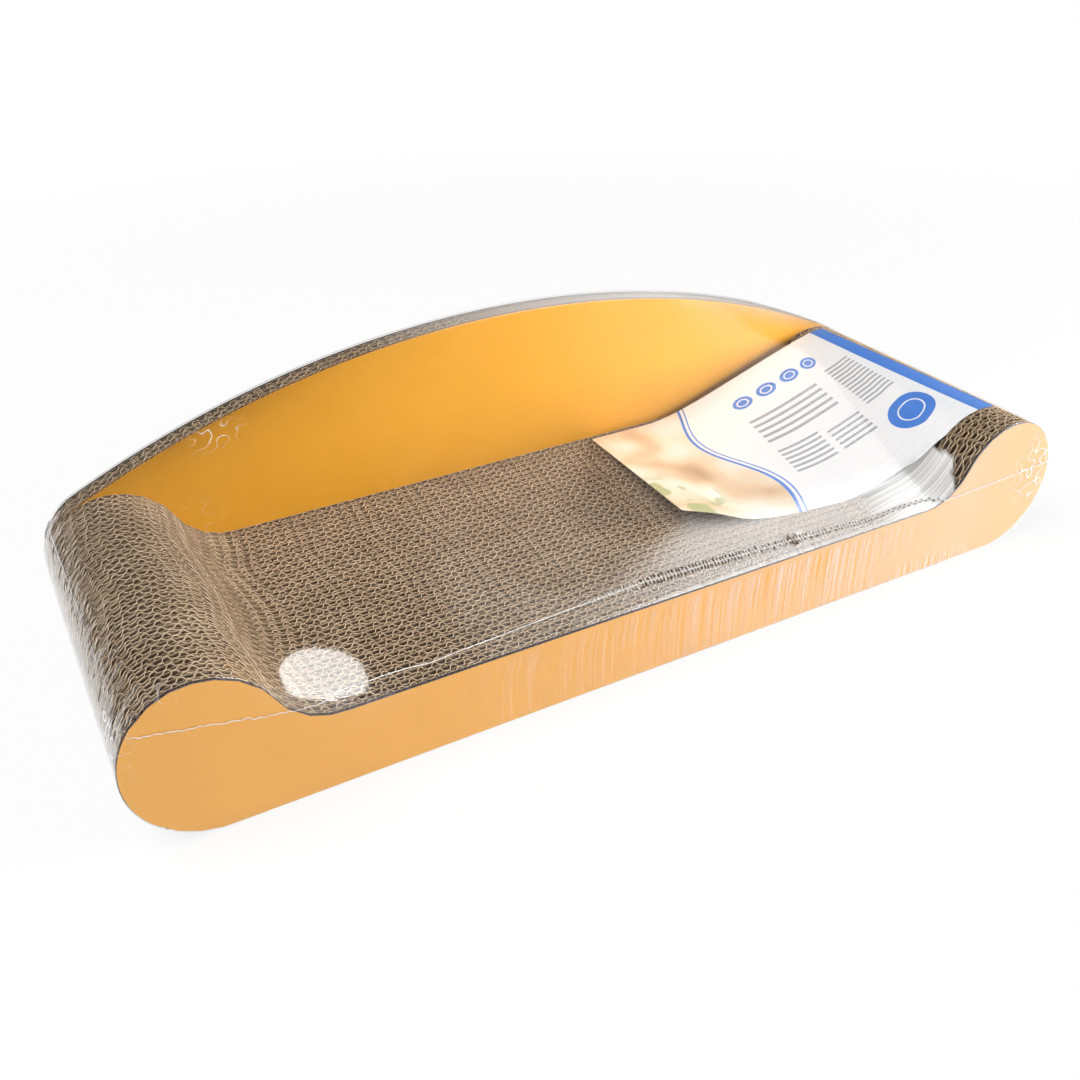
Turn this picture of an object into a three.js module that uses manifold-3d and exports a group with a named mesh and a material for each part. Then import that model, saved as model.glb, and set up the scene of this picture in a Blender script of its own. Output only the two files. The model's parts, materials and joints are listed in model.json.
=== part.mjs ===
// Cat scratcher lounger: a sofa-shaped block of upright corrugated boards glued face to face,
// with a printed panel in front, a taller curved backrest behind, and the card and the clear
// shrink film that it is sold in. Millimetres, +Z up, +X along the length, front towards -Y.
import * as THREE from "three";
import { mergeVertices } from "three/addons/utils/BufferGeometryUtils.js";
import Module from "manifold-3d";

const wasm = await Module();
wasm.setup();

// Outline of the boards, seen from the front
const length = 600;
const seat_height = 44.5;
const lobe_height = 88.5;
const widest_height = 45.5;
const foot_curve_width = 45;
const crown_curve_width = 38;
const crown_radius = 41;
const fillet_radius = 35;
const backrest_height = 148;

// Boards, from front to back
const boards_depth = 211.8;
const panel_thickness = 2.2;
const glue_line = 0.1;
const seat_board_count = 32;
const backrest_board_count = 2;
const back_panel_thickness = 1.5;

// Shrink film: its gauge, its play round the boards, and how it spans the hollow of the seat
const film_thickness = 0.1;
const film_base_gap = 0.3;
const film_side_gap = 0.5;
const film_top_gap = 1.2;
const film_face_gap = 0.3;
const film_fillet_radius = 95;
const seam_gap = 0.3;

// Insert card, about 222 by 156 when flat, trapped between the boards and the film
const card_thickness = 0.3;
const card_board_gap = 0.3;
const card_film_gap = 0.3;

// Height of the film's seam along the length: places as shares of the length, heights as
// shares of the lobe height
const seam_shares = [
  [-0.5, 0.82],
  [-0.46, 0.765],
  [-0.405, 0.685],
  [-0.366, 0.628],
  [-0.33, 0.62],
  [-0.295, 0.588],
  [-0.24, 0.566],
  [-0.02, 0.59],
  [0.16, 0.565],
  [0.24, 0.549],
  [0.34, 0.552],
  [0.42, 0.567],
  [0.5, 0.595],
];

// The card's long edges, from its end on the seat to its end on the right crown: place along
// the length as a share of it, place across the seat as a share of its depth from the front,
// and rise as a share of the lobe's rise above the seat
const card_back_shares = [
  [0.105, 0.975, 0.0],
  [0.155, 0.975, 0.0],
  [0.2, 0.973, 0.03],
  [0.25, 0.97, 0.2],
  [0.31, 0.967, 0.48],
  [0.37, 0.965, 0.76],
  [0.41, 0.963, 0.93],
  [0.44, 0.962, 1.0],
];
const card_front_shares = [
  [0.066, 0.255, 0.46],
  [0.106, 0.24, 0.28],
  [0.152, 0.222, 0.05],
  [0.21, 0.195, 0.0],
  [0.275, 0.175, 0.03],
  [0.34, 0.158, 0.36],
  [0.395, 0.148, 0.76],
  [0.448, 0.14, 1.0],
];
const card_long_steps = 6;
const card_cross_steps = 4;

// Facets of the round stretches
const quarter_steps = 6;
const arc_steps = 5;
const arch_steps = 12;
const seat_steps = 8;
const film_steps = 4;

const halving_rounds = 60;

const overrun = 20;
const merge_distance = 0.001;

// Sizes that follow
const panel_pitch = panel_thickness + glue_line;
const board_pitch =
  (boards_depth - 2 * panel_pitch - back_panel_thickness) /
  (seat_board_count + backrest_board_count);
const board_thickness = board_pitch - glue_line;
const seat_depth = panel_pitch + seat_board_count * board_pitch;
const front_y = -boards_depth / 2;
const base_z = film_base_gap + film_thickness;
const crown_x = length / 2 - crown_curve_width;
const foot_x = length / 2 - foot_curve_width;

const materials = {
  print: { color: 0xf0a848, roughness: 0.45, metalness: 0 },
  corrugated: { color: 0xb39468, roughness: 0.9, metalness: 0 },
  card: { color: 0xf4f4f6, roughness: 0.5, metalness: 0 },
  film: { color: 0xf2f6fa, roughness: 0.1, metalness: 0, transparent: true, opacity: 0.2 },
};

const lounger = new THREE.Group();

// Adds one named piece of the object.
function addPiece(name, geometry, material) {
  const mesh = new THREE.Mesh(geometry, new THREE.MeshStandardMaterial(materials[material]));
  mesh.name = name;
  lounger.add(mesh);
  return mesh;
}

// Points of an elliptical arc about a centre, with both ends.
function ellipseArc(centre_x, centre_z, radius_x, radius_z, from, to, steps) {
  const points = [];
  for (let i = 0; i <= steps; i += 1) {
    const angle = from + ((to - from) * i) / steps;
    points.push(
      new THREE.Vector2(
        centre_x + radius_x * Math.cos(angle),
        centre_z + radius_z * Math.sin(angle),
      ),
    );
  }
  return points;
}

const no_play = { side: 0, base: 0, top: 0 };

// Lower and upper quarter of the rounded right end, from the foot up to the crown. The play
// grows the curve outwards at the sides, below the base and above the crown.
function endCurve(play) {
  const foot = ellipseArc(
    foot_x,
    widest_height,
    foot_curve_width + play.side,
    widest_height + play.base,
    -Math.PI / 2,
    0,
    quarter_steps,
  );
  const crown = ellipseArc(
    crown_x,
    widest_height,
    crown_curve_width + play.side,
    lobe_height - widest_height + play.top,
    0,
    Math.PI / 2,
    quarter_steps,
  );
  return foot.concat(crown.slice(1));
}

// Where the right lobe's crown arc and the fillet below it have their centres, and the angle
// about the crown's centre at which one becomes the other.
function lobeArcs(play, fillet) {
  const radius = crown_radius + play.top;
  const crown_z = lobe_height - crown_radius;
  const fillet_z = seat_height + play.top + fillet;
  const rise = fillet_z - crown_z;
  const run = Math.sqrt((radius + fillet) ** 2 - rise ** 2);
  return {
    radius,
    fillet,
    crown_z,
    fillet_x: crown_x - run,
    fillet_z,
    meet: Math.atan2(rise, -run),
  };
}

// Crown arc and fillet that lead from the right lobe down to the seat.
function lobeToSeat(play, fillet) {
  const arcs = lobeArcs(play, fillet);
  const crown = ellipseArc(
    crown_x,
    arcs.crown_z,
    arcs.radius,
    arcs.radius,
    Math.PI / 2,
    arcs.meet,
    arc_steps,
  );
  const hollow = ellipseArc(
    arcs.fillet_x,
    arcs.fillet_z,
    fillet,
    fillet,
    arcs.meet - Math.PI,
    -Math.PI / 2,
    arc_steps,
  );
  return crown.slice(1).concat(hollow.slice(1));
}

// Height of the boards at a place on the right half of the seat block, on the true curves.
function boardTop(x) {
  const arcs = lobeArcs(no_play, fillet_radius);
  const meet_x = crown_x + arcs.radius * Math.cos(arcs.meet);
  if (x < arcs.fillet_x) return seat_height;
  if (x < meet_x) return arcs.fillet_z - Math.sqrt(arcs.fillet ** 2 - (x - arcs.fillet_x) ** 2);
  if (x < crown_x) return arcs.crown_z + Math.sqrt(arcs.radius ** 2 - (x - crown_x) ** 2);
  const share = Math.min((x - crown_x) / crown_curve_width, 1);
  return widest_height + (lobe_height - widest_height) * Math.sqrt(1 - share ** 2);
}

// A right half outline, bottom to top, mirrored into a closed counterclockwise outline. A
// last point on the middle line is kept once.
function mirrored(half) {
  const left = half.map((p) => new THREE.Vector2(-p.x, p.y)).reverse();
  const on_middle = Math.abs(left[0].x) < merge_distance;
  return half.concat(on_middle ? left.slice(1) : left);
}

const seat_outline = mirrored(endCurve(no_play).concat(lobeToSeat(no_play, fillet_radius)));

// The backrest's arch runs through its top and touches the crown curve of the end. This
// finds the angle on that curve where the two share a tangent.
function archOf(play) {
  const radius_x = crown_curve_width + play.side;
  const radius_z = lobe_height - widest_height + play.top;
  const top = backrest_height + play.top;
  let low = 0;
  let high = Math.PI / 2;
  let arch;
  for (let i = 0; i < halving_rounds; i += 1) {
    const angle = (low + high) / 2;
    const touch = new THREE.Vector2(
      crown_x + radius_x * Math.cos(angle),
      widest_height + radius_z * Math.sin(angle),
    );
    const normal = new THREE.Vector2(
      Math.cos(angle) / radius_x,
      Math.sin(angle) / radius_z,
    ).normalize();
    const radius = touch.x / normal.x;
    const centre_z = touch.y - radius * normal.y;
    arch = { touch, radius, centre_z };
    if (centre_z + radius > top) low = angle;
    else high = angle;
  }
  return arch;
}

// Height of the backrest's outline above the base at a place along the length.
function archHeight(arch, x) {
  return arch.centre_z + Math.sqrt(arch.radius ** 2 - x ** 2);
}

function backrestOutline() {
  const arch = archOf(no_play);
  const end = endCurve(no_play).filter((p) => p.y < arch.touch.y);
  const sweep = Math.atan2(arch.touch.y - arch.centre_z, arch.touch.x);
  const top = ellipseArc(
    0,
    arch.centre_z,
    arch.radius,
    arch.radius,
    sweep,
    Math.PI / 2,
    arch_steps,
  );
  return mirrored(end.concat(top));
}

// A flat board of an outline, standing upright with its front face at y.
function board(outline, thickness) {
  const geometry = new THREE.ExtrudeGeometry(new THREE.Shape(outline), {
    depth: thickness,
    bevelEnabled: false,
  });
  geometry.rotateX(Math.PI / 2);
  geometry.translate(0, thickness, 0);
  return geometry;
}

// Boards one behind another, a glue line apart
let next_y = front_y;
function addBoard(name, outline, thickness, material) {
  const mesh = addPiece(name, board(outline, thickness), material);
  mesh.position.set(0, next_y, base_z);
  next_y += thickness + glue_line;
}

const backrest_outline = backrestOutline();
addBoard("front_panel", seat_outline, panel_thickness, "print");
for (let i = 1; i <= seat_board_count; i += 1) {
  const number = String(i).padStart(2, "0");
  addBoard(`seat_layer_${number}`, seat_outline, board_thickness, "corrugated");
}
addBoard("backrest_face_panel", backrest_outline, panel_thickness, "print");
for (let i = 1; i <= backrest_board_count; i += 1) {
  addBoard(`backrest_layer_${i}`, backrest_outline, board_thickness, "corrugated");
}
addBoard("back_panel", backrest_outline, back_panel_thickness, "print");

// Height on a chain of points at a place along the length, by straight lines between them.
function heightOn(chain, x) {
  for (let i = 1; i < chain.length; i += 1) {
    const [a, b] = [chain[i - 1], chain[i]];
    if ((a.x - x) * (b.x - x) <= 0 && a.x !== b.x) {
      return a.y + ((b.y - a.y) * (x - a.x)) / (b.x - a.x);
    }
  }
  return chain[chain.length - 1].y;
}

// The film's rings: the front one spans the hollow of the seat with a wide fillet, the two
// others follow the backrest. All have one point for each point of the front one.
function filmRings(grow) {
  const play = {
    side: film_side_gap + grow,
    base: film_base_gap + grow,
    top: film_top_gap + grow,
  };
  const lobe = endCurve(play).concat(lobeToSeat(play, film_fillet_radius));
  const hollow = lobe[lobe.length - 1];
  const half = [...lobe];
  for (let i = 1; i < seat_steps; i += 1) {
    half.push(new THREE.Vector2(hollow.x * (1 - i / seat_steps), hollow.y));
  }
  const arch = archOf(play);
  const back_half = half.map((p, i) => {
    const under_arch = i > quarter_steps && p.x < arch.touch.x;
    return new THREE.Vector2(p.x, under_arch ? archHeight(arch, p.x) : p.y);
  });
  const front = mirrored(half);
  const back = mirrored(back_half);
  const span_y = front_y - film_face_gap - grow;
  const rings = [];
  for (let k = 0; k <= film_steps; k += 1) {
    const share = k / film_steps;
    rings.push({
      outline: front.map((p, i) => p.clone().lerp(back[i], share)),
      y: span_y + seat_depth * share,
    });
  }
  rings.push({ outline: back, y: front_y + boards_depth + film_face_gap + grow });
  return rings;
}

// A closed body through rings of equal count, counterclockwise seen from the front. A twisted
// face is split along its higher diagonal.
function ringBody(rings) {
  const count = rings[0].outline.length;
  const positions = [];
  for (const ring of rings) {
    for (const p of ring.outline) positions.push(p.x, ring.y, p.y + base_z);
  }
  const height = (a) => positions[3 * a + 2];
  const faces = [];
  for (let k = 0; k + 1 < rings.length; k += 1) {
    for (let i = 0; i < count; i += 1) {
      const j = (i + 1) % count;
      const [a, b] = [k * count + i, k * count + j];
      const [c, d] = [a + count, b + count];
      const across = height(a) + height(d) > height(b) + height(c) + merge_distance;
      if (across) faces.push(a, c, d, a, d, b);
      else faces.push(a, c, b, b, c, d);
    }
  }
  const last = (rings.length - 1) * count;
  for (const [a, b, c] of THREE.ShapeUtils.triangulateShape(rings[0].outline, [])) {
    faces.push(a, b, c);
  }
  for (const [a, b, c] of THREE.ShapeUtils.triangulateShape(
    rings[rings.length - 1].outline,
    [],
  )) {
    faces.push(last + a, last + c, last + b);
  }
  const geometry = new THREE.BufferGeometry();
  geometry.setAttribute("position", new THREE.Float32BufferAttribute(positions, 3));
  geometry.setIndex(faces);
  return geometry;
}

function solidOf(geometry) {
  const bare = geometry.clone();
  bare.deleteAttribute("normal");
  bare.deleteAttribute("uv");
  const merged = mergeVertices(bare);
  return new wasm.Manifold(
    new wasm.Mesh({
      numProp: 3,
      vertProperties: merged.attributes.position.array,
      triVerts: new Uint32Array(merged.index.array),
    }),
  );
}

function geometryOf(solid) {
  const mesh = solid.getMesh();
  const geometry = new THREE.BufferGeometry();
  geometry.setAttribute("position", new THREE.BufferAttribute(mesh.vertProperties, 3));
  geometry.setIndex(new THREE.BufferAttribute(mesh.triVerts, 1));
  return geometry;
}

// All the room on one side of the seam: from the seam line up to a top, or down to a floor.
function seamSide(shift, limit) {
  const line = seam_shares.map(
    ([x, z]) => new THREE.Vector2(x * length, z * lobe_height + shift),
  );
  line[0].x -= overrun;
  line[line.length - 1].x += overrun;
  const corners = [
    new THREE.Vector2(line[line.length - 1].x, limit),
    new THREE.Vector2(line[0].x, limit),
  ];
  const geometry = board(line.concat(corners), boards_depth + 2 * overrun);
  geometry.translate(0, front_y - overrun, base_z);
  return solidOf(geometry);
}

// The film is one skin round the boards, parted at the seam into a lower and an upper web.
const film_skin = solidOf(ringBody(filmRings(film_thickness))).subtract(
  solidOf(ringBody(filmRings(0))),
);
const lower_room = seamSide(-seam_gap / 2, -overrun);
const upper_room = seamSide(seam_gap / 2, backrest_height + overrun);
addPiece("film_lower_web", geometryOf(film_skin.intersect(lower_room)), "film");
addPiece("film_upper_web", geometryOf(film_skin.intersect(upper_room)), "film");

// Height of the film's inside above the base at a place over the seat.
const film_inside = filmRings(0);
const film_front_ring = film_inside[0];
const film_back_ring = film_inside[film_steps];

function filmTop(x, y) {
  const inside = (p) => p.y >= seat_height;
  const share = (y - film_front_ring.y) / (film_back_ring.y - film_front_ring.y);
  const front = heightOn(film_front_ring.outline.filter(inside), x);
  const back = heightOn(film_back_ring.outline.filter(inside), x);
  return front + (back - front) * share;
}

// A point of one of the card's long edges.
function cardEdge(shares, station) {
  const last = shares.length - 1;
  const i = Math.min(Math.floor(station), last - 1);
  const part = station - i;
  const [x, y, rise] = shares[i].map((v, k) => v + (shares[i + 1][k] - v) * part);
  return new THREE.Vector3(
    x * length,
    front_y + y * seat_depth,
    seat_height + card_board_gap + rise * (lobe_height - seat_height),
  );
}

// The card: straight lines across from its back edge to its front edge, kept clear of the
// boards below and of the film above.
function insertCard() {
  const stations = (card_back_shares.length - 1) * card_long_steps;
  const rows = [];
  for (let i = 0; i <= stations; i += 1) {
    const back = cardEdge(card_back_shares, i / card_long_steps);
    const front = cardEdge(card_front_shares, i / card_long_steps);
    for (let k = 0; k <= card_cross_steps; k += 1) {
      const p = back.clone().lerp(front, k / card_cross_steps);
      const ceiling = filmTop(p.x, p.y) - card_film_gap - card_thickness;
      p.z = Math.min(Math.max(p.z, boardTop(p.x) + card_board_gap), ceiling);
      rows.push(p);
    }
  }
  const across = card_cross_steps + 1;
  const sheet = rows.length;
  const positions = [];
  for (const lift of [0, card_thickness]) {
    for (const p of rows) positions.push(p.x, p.y, p.z + lift + base_z);
  }
  const faces = [];
  const quad = (a, b, c, d) => faces.push(a, b, c, a, c, d);
  for (let i = 0; i < stations; i += 1) {
    for (let k = 0; k < card_cross_steps; k += 1) {
      const a = i * across + k;
      quad(a, a + across, a + across + 1, a + 1);
      quad(sheet + a, sheet + a + 1, sheet + a + across + 1, sheet + a + across);
    }
  }
  const rim = [];
  for (let k = 0; k < card_cross_steps; k += 1) rim.push(k);
  for (let i = 0; i < stations; i += 1) rim.push(i * across + card_cross_steps);
  for (let k = card_cross_steps; k > 0; k -= 1) rim.push(stations * across + k);
  for (let i = stations; i > 0; i -= 1) rim.push(i * across);
  rim.forEach((a, i) => {
    const b = rim[(i + 1) % rim.length];
    quad(a, b, sheet + b, sheet + a);
  });
  const geometry = new THREE.BufferGeometry();
  geometry.setAttribute("position", new THREE.Float32BufferAttribute(positions, 3));
  geometry.setIndex(faces);
  return geometry;
}

addPiece("insert_card", insertCard(), "card");

export default lounger;
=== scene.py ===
import json
import math
from functools import reduce

import bmesh
import bpy
import numpy as np
from mathutils import Matrix, Vector

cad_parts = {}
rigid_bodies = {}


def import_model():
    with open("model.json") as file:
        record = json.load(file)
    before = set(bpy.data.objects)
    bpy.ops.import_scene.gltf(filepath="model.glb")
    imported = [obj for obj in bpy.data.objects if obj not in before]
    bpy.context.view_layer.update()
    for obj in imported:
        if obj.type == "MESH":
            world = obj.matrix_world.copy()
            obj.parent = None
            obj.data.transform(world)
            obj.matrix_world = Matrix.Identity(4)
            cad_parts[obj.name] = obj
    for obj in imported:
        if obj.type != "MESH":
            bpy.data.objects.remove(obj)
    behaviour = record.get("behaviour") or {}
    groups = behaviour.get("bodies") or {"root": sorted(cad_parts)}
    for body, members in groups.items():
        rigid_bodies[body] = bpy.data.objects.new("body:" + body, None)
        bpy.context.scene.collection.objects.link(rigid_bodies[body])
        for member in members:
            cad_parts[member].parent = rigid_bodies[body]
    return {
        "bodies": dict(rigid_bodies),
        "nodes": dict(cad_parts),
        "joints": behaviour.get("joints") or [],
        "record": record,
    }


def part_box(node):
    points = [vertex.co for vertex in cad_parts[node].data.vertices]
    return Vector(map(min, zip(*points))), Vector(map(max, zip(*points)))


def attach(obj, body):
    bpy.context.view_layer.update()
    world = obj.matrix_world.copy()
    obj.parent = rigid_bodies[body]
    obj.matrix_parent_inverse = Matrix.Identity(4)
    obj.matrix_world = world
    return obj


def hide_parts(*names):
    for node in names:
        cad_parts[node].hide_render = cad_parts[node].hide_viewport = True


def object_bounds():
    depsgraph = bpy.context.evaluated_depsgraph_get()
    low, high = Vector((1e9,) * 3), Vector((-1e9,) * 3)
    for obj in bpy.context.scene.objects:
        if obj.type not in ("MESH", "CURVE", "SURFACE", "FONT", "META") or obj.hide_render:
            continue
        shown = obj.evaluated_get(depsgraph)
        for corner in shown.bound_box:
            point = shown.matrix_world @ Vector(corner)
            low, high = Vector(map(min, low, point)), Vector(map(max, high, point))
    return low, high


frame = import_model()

cad_low, cad_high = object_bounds()

# Outline of the boards in metres, heights above their underside, as the CAD has it
seat_height = 0.0445
lobe_height = 0.0885
widest_height = 0.0455
foot_curve_width = 0.045
crown_curve_width = 0.038
crown_radius = 0.041
fillet_radius = 0.035
backrest_height = 0.148

board_low, board_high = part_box("seat_layer_01")
base_z = board_low.z
half_length = board_high.x
crown_x = half_length - crown_curve_width
foot_x = half_length - foot_curve_width
front_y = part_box("front_panel")[0].y
seat_back_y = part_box("backrest_face_panel")[0].y
back_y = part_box("back_panel")[1].y

# Paper of the corrugated boards
liner_thickness = 0.00022
flute_thickness = 0.0004
# Depth below the cut edge over which the paper darkens as painted shade
painted_shade_depth = 0.0028
coarse_waves = 77
fine_waves = 92
panel_waves = 176
coarse_share = 0.615
points_per_wave = 12
liner_steps = 60
turn_steps = 9
turn_start = 0.9
flank_ease = 0.14
wave_lean = -0.25
wave_drifts = ((31, 0.3), (83, 0.2))
swing_loss = 0.08
phase_step = 0.75
phase_spread = 0.8
board_patterns = 8
edge_unevenness = 0.0004
thin_board_flutes = 1 / 8
board_smooth_angle = math.radians(50)
film_smooth_angle = math.radians(60)

# Film round the boards: the gaps lie under its outer face
film_thickness = 0.0001
film_side_gap = 0.0006
film_top_gap = 0.0013
film_face_gap = 0.0004
film_base_gap = 0.0004
film_left_fillet = 0.095
film_right_fillet = 0.036
film_slack_span = (0.0, 0.12)
film_slack_pull = 0.04
film_rounds = 900
film_overshoot = 1.9
film_grid_steps = (241, 81)
film_columns = 280
film_turn_steps = 18
film_turn_start = 0.15
film_rows = 70
film_under_step = 8
film_face_rows = 16
film_edge_angle = 0.9
film_edge_radius = 0.0005
film_edge_segments = 3
film_weld_distance = 1e-6
search_rounds = 40

# Weld between the two webs of the film: place along the length, height over the lobe height
seam_shares = [
    (-0.5, 0.82),
    (-0.46, 0.765),
    (-0.405, 0.685),
    (-0.366, 0.628),
    (-0.33, 0.62),
    (-0.295, 0.588),
    (-0.24, 0.566),
    (-0.02, 0.59),
    (0.16, 0.565),
    (0.24, 0.549),
    (0.34, 0.552),
    (0.42, 0.567),
    (0.5, 0.595),
]

# The card's long edges, from its end on the seat to its end on the right crown: place along
# the length, depth from the front, and rise from the seat to the lobe's top
card_thickness = 0.0003
card_gap = 0.0003
card_back_shares = [
    (0.105, 0.975, 0),
    (0.155, 0.975, 0),
    (0.2, 0.973, 0.03),
    (0.25, 0.97, 0.2),
    (0.31, 0.967, 0.48),
    (0.37, 0.965, 0.76),
    (0.41, 0.963, 0.93),
    (0.44, 0.962, 1),
]
card_front_shares = [
    (0.066, 0.255, 0.46),
    (0.106, 0.24, 0.28),
    (0.152, 0.222, 0.05),
    (0.21, 0.195, 0),
    (0.275, 0.175, 0.03),
    (0.34, 0.158, 0.36),
    (0.395, 0.148, 0.76),
    (0.448, 0.14, 1),
]
card_length = 0.222
card_width = 0.156
card_steps = (84, 36)
# The card's print, in millimetres on the card: a warm cloudy field with leaves up to a wavy
# border with two blue lines, and a blue band at the end
card_cloud_scale = 0.022
card_warm_stops = [
    (0.28, (0.43, 0.25, 0.12)),
    (0.40, (0.78, 0.56, 0.36)),
    (0.52, (0.9, 0.78, 0.61)),
    (0.66, (0.94, 0.9, 0.83)),
]
card_leaf_scale = 0.05
card_leaf_across = (40, 80)
card_leaf_along = (45, 65)
card_green = (0.34, 0.42, 0.16, 1)
card_white = (0.93, 0.945, 0.97, 1)
card_blue = (0.075, 0.235, 0.72, 1)
card_grey = (0.42, 0.43, 0.47, 1)
card_border = 92
card_border_lean = 0.12
card_wave = 9
card_wave_rate = 0.045
card_lines = ((1.2, 0.9, 1.3), (5.0, 0.4, 0.7))
card_end_band = 209
card_end_lean = 0.05
card_ring_share = 0.55
# Its discs: place along and across and radius, and its groups of bars: from and to along, from
# and to across, and pitch
card_discs = [
    (118, 128, 6.5),
    (135, 128, 6.5),
    (152, 128, 6.5),
    (169, 128, 6.5),
    (186, 34, 15),
]
card_bars = [
    (112, 160, 78, 108, 6.5),
    (112, 138, 40, 68, 5),
    (142, 164, 40, 63, 5),
    (172, 196, 62, 112, 4),
]

# Weld bead, its cross bars and slits
seam_steps = 600
weld_sides = 8
weld_width = 0.0005
weld_width_right = 0.0007
weld_height = 0.00014
weld_lift = 0.0003
weld_wiggle = 0.0006
weld_wiggle_span = (-0.35, -0.28)
tick_span = (-0.06, 0.206)
tick_pitch = 0.0023
tick_width = 0.00055
tick_lengths = ((-0.06, -0.015, 0.05, 0.1, 0.206), (0.0012, 0.0068, 0.0058, 0.0042, 0.0026))
tick_scatter = 0.15
tick_askew = 0.3
tick_size_range = (0.7, 1.15)
tick_lift = 0.0006
tick_steps = (8, 5)
slit_start = -0.016
slit_zigzag_start = 0.055
slit_width = 0.0012
slit_share = 0.42
slit_aside = 0.27
slit_scatter = 0.08
slit_height = 0.0003
slope_step = 0.002
knot_place = 0.092
knot_slits = 14
knot_reach = 0.0035

# Places where the film is bunched, with folds and painted highlights in loops: middle, reach along
# each axis, and amount
crumpled_spots = [
    ((-0.300, -0.085, 0.062), (0.008, 0.02, 0.014), 1.0),
    ((-0.272, -0.1034, 0.0886), (0.004, 0.006, 0.005), 0.8),
    ((0.288, -0.106, 0.05), (0.014, 0.012, 0.018), 1.0),
    ((0.092, -0.0971, 0.0505), (0.006, 0.004, 0.006), 1.0),
    ((-0.196, 0.08, 0.116), (0.013, 0.008, 0.006), 0.9),
    ((-0.223, 0.023, 0.0958), (0.008, 0.02, 0.01), 0.15),
]

# Part of the film that is pressed on the card and doesn't shine: places along the length, and
# there the depth of its front edge, and how closely the film nearer to the front is pressed
pressed_edge = (
    (-0.14, -0.06, -0.03, -0.003, 0.037, 0.066, 0.108, 0.161, 0.206, 0.246),
    (-0.02, -0.09, -0.09, -0.084, -0.068, -0.079, -0.083, -0.078, -0.069, -0.073),
)
pressed_softness = 0.014
pressed_fade = ((-0.14, 0.0), (0, 1))
pressed_front = ((0.02, 0.08, 0.17), (0, 0.5, 0.95))
pressed_front_y = -0.04
pressed_share = 0.85

# Film that touches the board edges and shows their pattern: the gap it fades out at, and less
# of it on the front part of the seat towards the right
touch_gap = 0.003
touch_front = ((0, 0.08), (1, 0.35))
touch_front_y = -0.05

# Fine lines drawn in the film, as tables of places and amounts. On the front the places are
# shares of the length
front_drawn = ((-0.24, -0.18, 0.2, 0.27, 0.33), (0, 0.8, 0.95, 0.3, 0))
front_foot_share = 0.45
edge_gap = 0.0015
edge_softness = 0.002
foot_drawn = ((0.2, 0.25, 0.37, 0.42), (0, 0.6, 0.6, 0))
foot_height = 0.003
foot_reach = 0.006
fan_run = (-0.33, 0.06)
fan_reach = 0.009
rim_reach = 0.006
rim_drawn = 0.25
spike_places = (-0.19, 0.03)
hollow_drawn = ((0.12, 0.16), (0, 0.22))
hollow_drawn_x = 0.11
hollow_drawn_y = -0.03
hollow_slant = 0.15
hollow_crowding = 2.4
# Slant of the lines on the front: places along the length, and there the run over the rise
slants = ((-0.3, -0.21, -0.195, -0.18, -0.15, 0, 0.3), (2.5, 1.6, 1.1, 0.55, 0.35, 0.1, 0))
slant_depth = 0.015

# Painted reflection haze and a painted highlight along the front rim, as white shares of the
# film in tables of places and amounts: on the front by shares of the length, the others by
# places along the length. The end of the painted haze in the right hollow is given as depths,
# and there the place along the length
front_painted_haze = (
    (-0.5, -0.25, -0.1, 0, 0.1, 0.25, 0.38, 0.44),
    (0, 0.01, 0.04, 0.09, 0.14, 0.22, 0.26, 0.2),
)
hollow_painted_haze = ((-0.03, 0.03, 0.08, 0.15, 0.2), (0, 0.1, 0.2, 0.24, 0.7))
hollow_end = ((-0.106, -0.0965, -0.0933, -0.073), (0.215, 0.2196, 0.2246, 0.221))
hollow_end_softness = 0.001
hollow_back = (-0.08, -0.07)
rim_highlight_width = 0.0016
rim_painted_highlight = ((-0.06, 0.0), (0, 0.4))
rim_highlight_end = 0.2
veil_painted_haze = ((0.12, 0.2, 0.25, 0.29), (0, 0.3, 0.5, 0.3))
veil_power = 6
veil_rise = ((0.08, 0.1), (0, 1))
arch_painted_haze = ((-0.1, 0, 0.12, 0.28), (0, 0.3, 0.55, 0.3))
arch_rise = ((0.06, 0.1), (0, 1))
arch_margin = 0.002
film_blur = ((-0.16, -0.11, 0.12, 0.2), (0, 1, 1, 0))

# The film's surface: how often its forms come in a metre, how high each stands, how white the
# lines are as whitened creases and painted highlight, and how white the painted highlights on
# the bunched places are
film_roughness = 0.07
film_blurred = 0.26
ripple_scale = 40
ripple_height = 0.1
dent_scale = (150, 110, 150)
dent_height = 0.9
fold_scale = (420, 260, 120)
fold_height = 2.0
tooth_scale = (60, 120, 50)
tooth_span = (0.255, 0.275)
tooth_height = 6.0
line_scale = (400, 14, 7)
line_height = 0.05
crease_white_and_highlight = 0.14
stripe_scale = (380, 9, 6)
stripe_swing = 1.8
gap_scale = (45, 30)
loop_scale = 130
bunch_painted_highlight = 0.75
film_bump = (0.5, 0.0016)

random_state = np.random.default_rng(7)


# Lines of the outline
def underside(x):
    """Height of the rounded underside above the base."""
    past = np.clip((np.abs(x) - foot_x) / foot_curve_width, 0, 1)
    return widest_height * (1 - np.sqrt(1 - past**2))


def end_line(x, side=0.0, top=0.0):
    """The crown's outer quarter, grown by a play at the side and at the top."""
    past = np.clip((np.abs(x) - crown_x) / (crown_curve_width + side), 0, 1)
    return widest_height + (lobe_height - widest_height + top) * np.sqrt(1 - past**2)


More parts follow.
